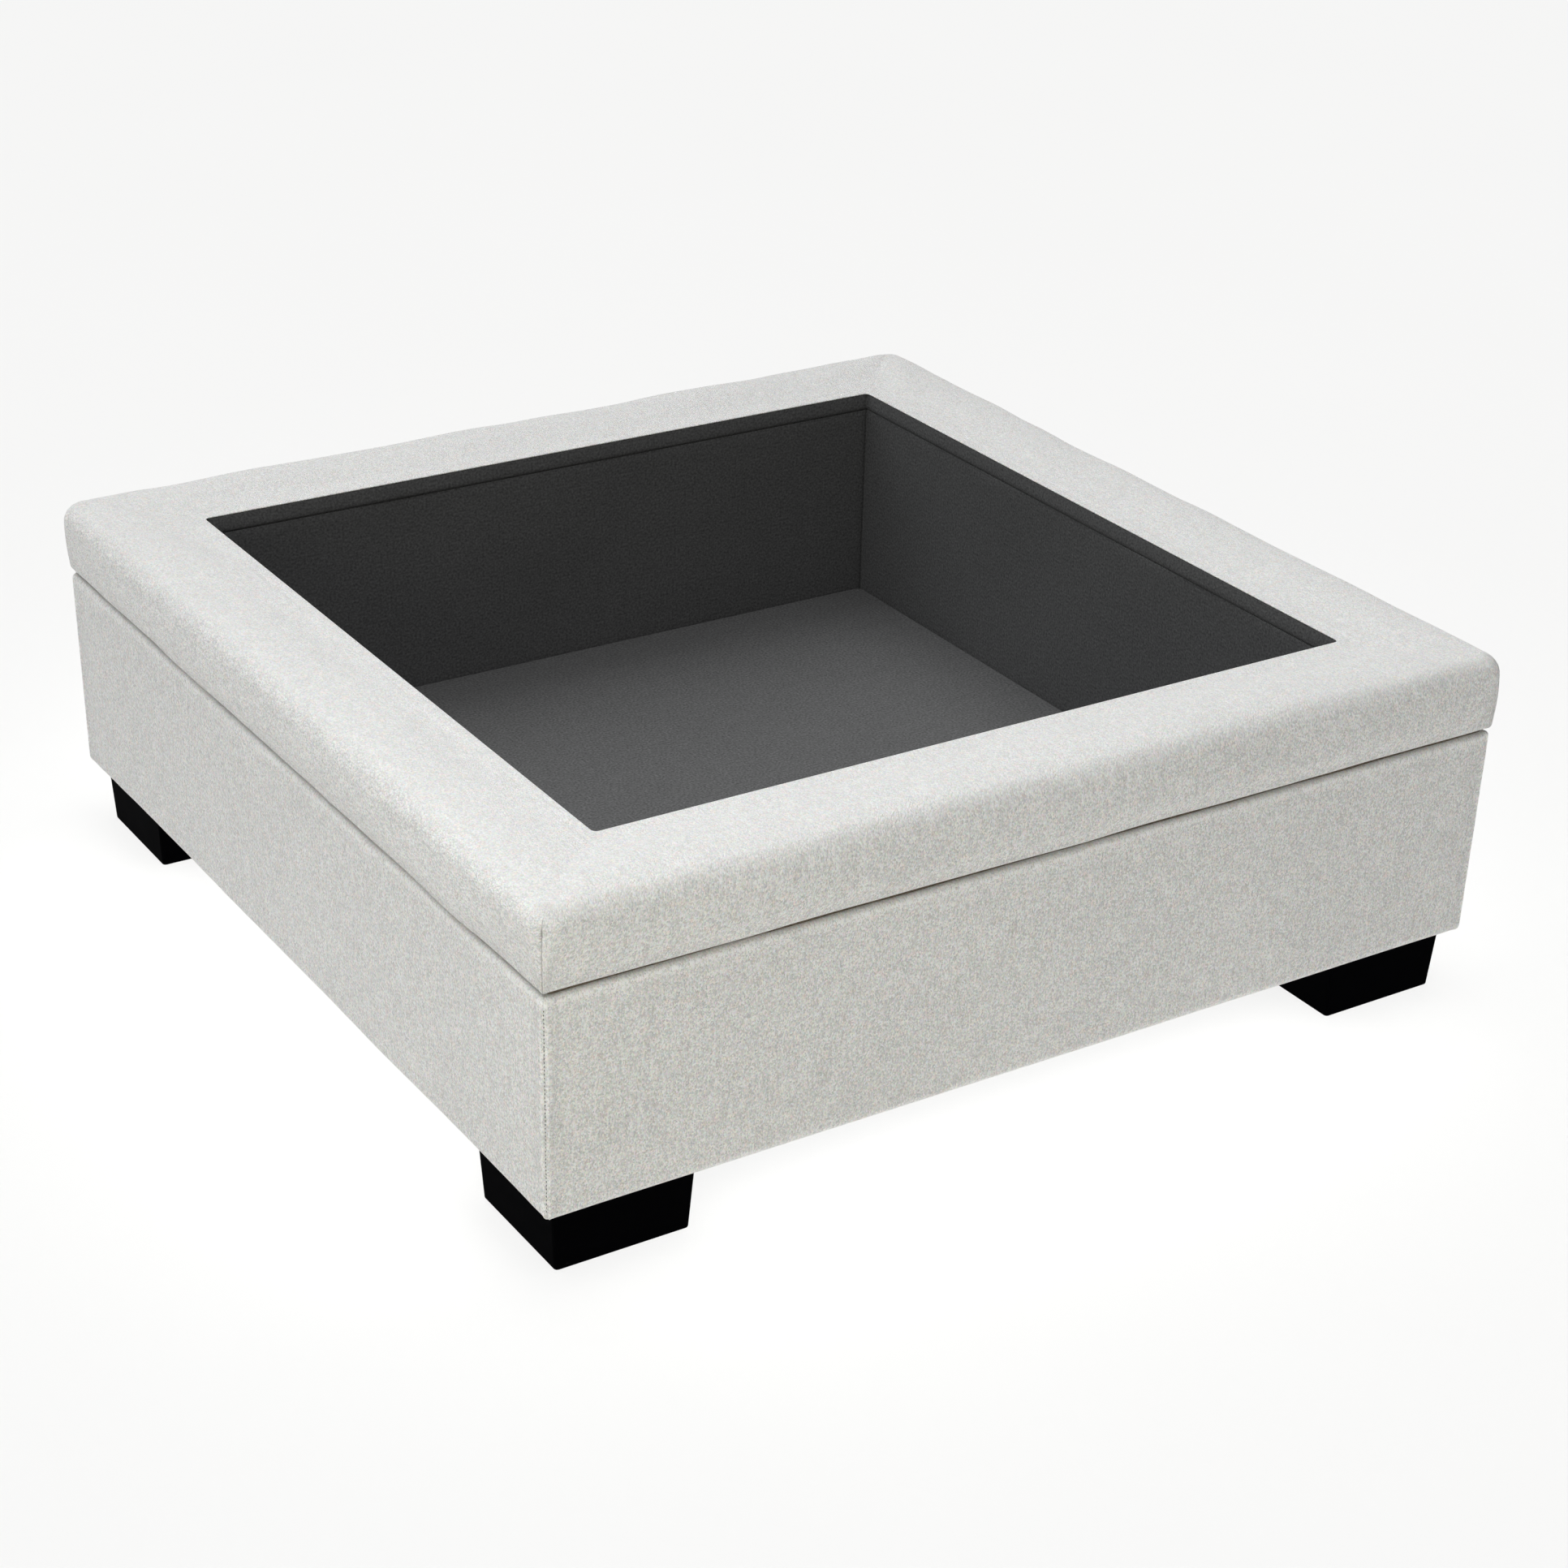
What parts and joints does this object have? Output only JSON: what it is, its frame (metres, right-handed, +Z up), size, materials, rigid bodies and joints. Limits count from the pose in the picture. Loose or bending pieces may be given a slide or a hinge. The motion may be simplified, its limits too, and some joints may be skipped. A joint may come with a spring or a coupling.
{
  "type": "storage ottoman",
  "caption": "Square upholstered ottoman with a padded rim round an open lined storage well, a lift-out well floor and low black block feet.",
  "frame": {"origin": "on the floor, under the middle of the ottoman", "axes": "+Z up, front at -Y, +X to the right seen from the front"},
  "size_m": [1.122, 1.122, 0.384],
  "materials": {
    "outer_cloth": "matt chenille weave, warm light grey with beige and grey-green flecks",
    "lining_cloth": "smooth plain charcoal lining cloth",
    "dust_cloth": "thin black non-woven cloth",
    "foam": "open-cell upholstery foam",
    "plywood": "raw plywood",
    "timber": "raw sawn softwood",
    "black_wood": "black satin paint",
    "zinc_steel": "zinc-plated"
  },
  "bodies": {
    "ottoman": {"foot_front_left": "black_wood", "foot_bolt_front_left": "zinc_steel", "t_nut_front_left": "zinc_steel", "foot_front_right": "black_wood", "foot_bolt_front_right": "zinc_steel", "t_nut_front_right": "zinc_steel", "foot_back_left": "black_wood", "foot_bolt_back_left": "zinc_steel", "t_nut_back_left": "zinc_steel", "foot_back_right": "black_wood", "foot_bolt_back_right": "zinc_steel", "t_nut_back_right": "zinc_steel", "frame_panel_front": "plywood", "well_wall_front": "plywood", "bottom_rail_front": "timber", "board_rest_front": "timber", "top_rail_front": "timber", "rim_rail_front": "timber", "rim_foam_front": "foam", "rim_bolt_front": "zinc_steel", "lining_front": "lining_cloth", "frame_panel_right": "plywood", "well_wall_right": "plywood", "bottom_rail_right": "timber", "board_rest_right": "timber", "top_rail_right": "timber", "rim_rail_right": "timber", "rim_foam_right": "foam", "rim_bolt_right": "zinc_steel", "lining_right": "lining_cloth", "frame_panel_back": "plywood", "well_wall_back": "plywood", "bottom_rail_back": "timber", "board_rest_back": "timber", "top_rail_back": "timber", "rim_rail_back": "timber", "rim_foam_back": "foam", "rim_bolt_back": "zinc_steel", "lining_back": "lining_cloth", "frame_panel_left": "plywood", "well_wall_left": "plywood", "bottom_rail_left": "timber", "board_rest_left": "timber", "top_rail_left": "timber", "rim_rail_left": "timber", "rim_foam_left": "foam", "rim_bolt_left": "zinc_steel", "lining_left": "lining_cloth", "centre_rail": "timber", "base_cover": "outer_cloth", "dust_cover": "dust_cloth", "rim_cover": "outer_cloth", "lining_facing": "lining_cloth"},
    "lift_out_board": {"floor_board": "plywood", "floor_board_wrap": "lining_cloth"}
  },
  "joints": [
    {"name": "board_lift", "type": "slide", "parent": "ottoman", "child": "lift_out_board", "axis": [0, 0, 1], "range_m": [0, 0.3]}
  ]
}
